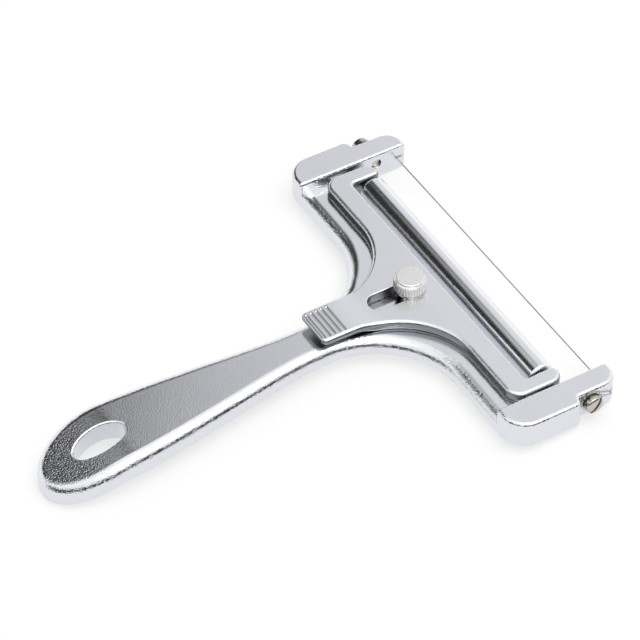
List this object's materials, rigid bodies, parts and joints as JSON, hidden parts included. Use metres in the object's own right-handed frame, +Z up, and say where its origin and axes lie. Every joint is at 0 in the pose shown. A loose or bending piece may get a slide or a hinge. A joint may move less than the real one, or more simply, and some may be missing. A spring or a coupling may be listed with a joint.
{
  "type": "wire cheese slicer",
  "caption": "Adjustable wire cheese slicer: a cast head with a taut cutting wire, a roller on a sliding plate that sets the slice, a thumb screw and a flat handle",
  "frame": {"origin": "Centre of the bounding box in plan, at table height, with the tool lying on its underside", "axes": "+X from the handle towards the cutting wire, +Y to the left cheek, +Z up from the table"},
  "size_m": [0.1498, 0.1262, 0.0161],
  "materials": {
    "chrome_casting": "bright chrome plate on a smooth die casting",
    "roller_steel": "polished stainless tube",
    "knob_nickel": "satin nickel plate, knurled rim",
    "screw_steel": "zinc plate over steel",
    "wire_steel": "drawn stainless wire"
  },
  "bodies": {
    "frame_body": {"frame": "chrome_casting", "cutting_wire": "wire_steel", "wire_screw_left": "screw_steel", "wire_screw_right": "screw_steel", "wire_washer_left": "screw_steel", "wire_washer_right": "screw_steel"},
    "plate_body": {"adjusting_plate": "chrome_casting", "roller_axle": "screw_steel"},
    "roller_body": {"roller_tube": "roller_steel", "roller_plug_left": "roller_steel", "roller_plug_right": "roller_steel"},
    "washer_body": {"clamp_washer": "screw_steel"},
    "thumb_body": {"thumb_knob": "knob_nickel", "thumb_stud": "screw_steel"}
  },
  "joints": [
    {"name": "plate_slide", "type": "slide", "parent": "frame_body", "child": "plate_body", "axis": [0.9965, 0, -0.0837], "range_m": [0, 0.008]},
    {"name": "roller_spin", "type": "hinge", "parent": "plate_body", "child": "roller_body", "pos_m": [0.05868, 0, 0.00556], "axis": [0, 1, 0], "continuous": true},
    {"name": "clamp_lift", "type": "slide", "parent": "frame_body", "child": "washer_body", "axis": [0.0837, 0, 0.9965], "range_m": [0, 0.0016]},
    {"name": "thumb_turn", "type": "hinge", "parent": "washer_body", "child": "thumb_body", "pos_m": [0.04414, 0, 0.01104], "axis": [0.0837, 0, 0.9965], "range_deg": [0, 720]}
  ],
  "couplings": [
    {"joint": "thumb_turn", "follows": "clamp_lift", "rad_per_m": 7854}
  ]
}
